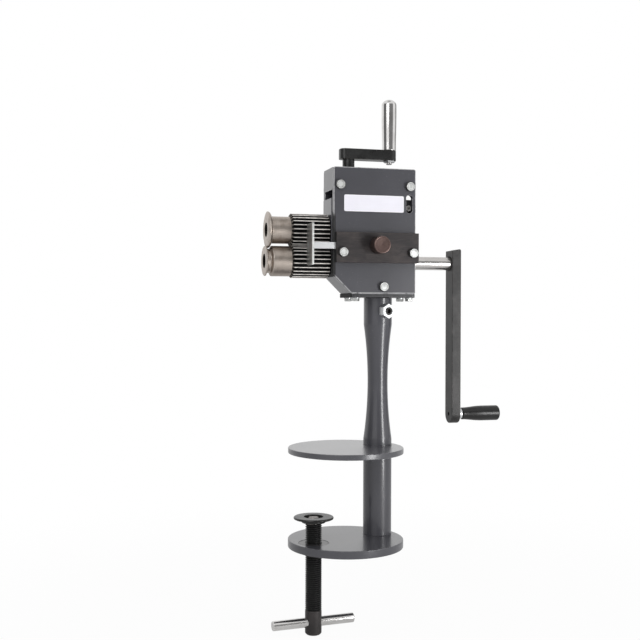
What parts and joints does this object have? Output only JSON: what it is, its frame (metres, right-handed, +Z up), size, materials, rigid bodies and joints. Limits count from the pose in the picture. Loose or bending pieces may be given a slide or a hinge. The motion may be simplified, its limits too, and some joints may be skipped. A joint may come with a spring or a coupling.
{
  "type": "sheet metal crimper",
  "caption": "Bench stand with a swivelling head whose crank turns a pair of crimp and bead rolls, with a screw-adjusted upper roll, an edge gauge and a bench clamp.",
  "frame": {"origin": "centre of the upper disc's underside, on the upper face of the bench top", "axes": "+Z up along the column, +X along the roll shafts towards the crank, -Y towards the gauge knob"},
  "size_m": [0.3706, 0.17, 0.7854],
  "materials": {
    "paint": "dark grey gloss paint",
    "black_steel": "black oxide, oiled",
    "brown_steel": "browned, turned",
    "bare_steel": "bare ground steel, lightly oiled",
    "bright_steel": "polished",
    "zinc_plate": "bright zinc plate",
    "bronze": "turned bronze",
    "black_plastic": "polished black resin",
    "label": "bare satin plate"
  },
  "bodies": {
    "stand": {"bench_disc": "paint", "clamp_disc": "paint", "column": "paint", "clamp_nut": "paint", "lock_nut": "zinc_plate", "lock_screw": "black_steel"},
    "head": {"head_post": "black_steel", "base_plate": "paint", "base_washers": "zinc_plate", "base_bolts": "zinc_plate", "front_plate": "paint", "rear_plate": "paint", "top_block": "paint", "lower_block": "paint", "lower_bushes": "bronze", "plate_bolts": "zinc_plate", "plate_nuts": "zinc_plate", "label_plate": "label", "gauge_rail": "brown_steel", "rail_bolts": "zinc_plate"},
    "carriage": {"slide_block": "paint", "upper_bushes": "bronze", "guide_screw": "black_steel", "keeper_plate": "bright_steel", "keeper_screws": "zinc_plate"},
    "upper_roll_shaft": {"upper_shaft": "bright_steel", "upper_bead_roll": "bare_steel", "upper_crimp_roll": "bare_steel", "upper_key": "black_steel", "upper_roll_screw": "black_steel", "upper_retaining_ring": "black_steel"},
    "crank": {"lower_shaft": "bright_steel", "lower_bead_roll": "bare_steel", "lower_crimp_roll": "bare_steel", "lower_key": "black_steel", "lower_roll_screw": "black_steel", "lower_retaining_ring": "black_steel", "crank_arm": "black_steel", "arm_grub_screw": "black_steel", "grip_spindle": "zinc_plate"},
    "grip": {"crank_grip": "black_plastic"},
    "adjusting_crank": {"adjust_screw": "black_steel", "adjust_arm": "black_steel", "adjust_grub_screw": "black_steel", "adjust_handle": "bright_steel", "handle_nut": "zinc_plate"},
    "gauge": {"gauge_bar": "zinc_plate", "gauge_stop": "zinc_plate", "gauge_stop_screw": "zinc_plate"},
    "gauge_lock": {"gauge_knob": "brown_steel"},
    "pad": {"clamp_pad": "black_steel"},
    "clamp": {"clamp_screw": "black_steel", "tommy_bar": "bright_steel"}
  },
  "joints": [
    {"name": "head_swivel", "type": "hinge", "parent": "stand", "child": "head", "pos_m": [0.05494, 0.0186, 0.2284], "axis": [0, 0, 1], "continuous": true},
    {"name": "carriage_slide", "type": "slide", "parent": "head", "child": "carriage", "axis": [0, 0, 1], "range_m": [0, 0.01121]},
    {"name": "adjust_turn", "type": "hinge", "parent": "carriage", "child": "adjusting_crank", "pos_m": [0.00824, 0.0186, 0.434], "axis": [0, 0, 1], "range_deg": [0, 2016]},
    {"name": "upper_shaft_turn", "type": "hinge", "parent": "carriage", "child": "upper_roll_shaft", "pos_m": [-0.02506, 0.0186, 0.32666], "axis": [1, 0, 0], "continuous": true},
    {"name": "crank_turn", "type": "hinge", "parent": "head", "child": "crank", "pos_m": [-0.02506, 0.0186, 0.2813], "axis": [1, 0, 0], "continuous": true},
    {"name": "grip_spin", "type": "hinge", "parent": "crank", "child": "grip", "pos_m": [0.22044, 0.0186, 0.0513], "axis": [1, 0, 0], "continuous": true},
    {"name": "gauge_slide", "type": "slide", "parent": "head", "child": "gauge", "axis": [1, 0, 0], "range_m": [-0.05, 0.033]},
    {"name": "gauge_lock_turn", "type": "hinge", "parent": "head", "child": "gauge_lock", "pos_m": [0.04054, -0.0374, 0.30418], "axis": [0, -1, 0], "range_deg": [0, 270]},
    {"name": "clamp_slide", "type": "slide", "parent": "stand", "child": "pad", "axis": [0, 0, 1], "range_m": [-0.02801, 0.07851]},
    {"name": "clamp_turn", "type": "hinge", "parent": "pad", "child": "clamp", "pos_m": [-0.05323, -0.01802, -0.1827], "axis": [0, 0, 1], "range_deg": [-3360, 9420]}
  ],
  "couplings": [
    {"joint": "carriage_slide", "follows": "adjust_turn", "m_per_rad": 0.00031831},
    {"joint": "upper_shaft_turn", "follows": "crank_turn", "ratio": -1},
    {"joint": "clamp_slide", "follows": "clamp_turn", "m_per_rad": 0.00047746}
  ]
}
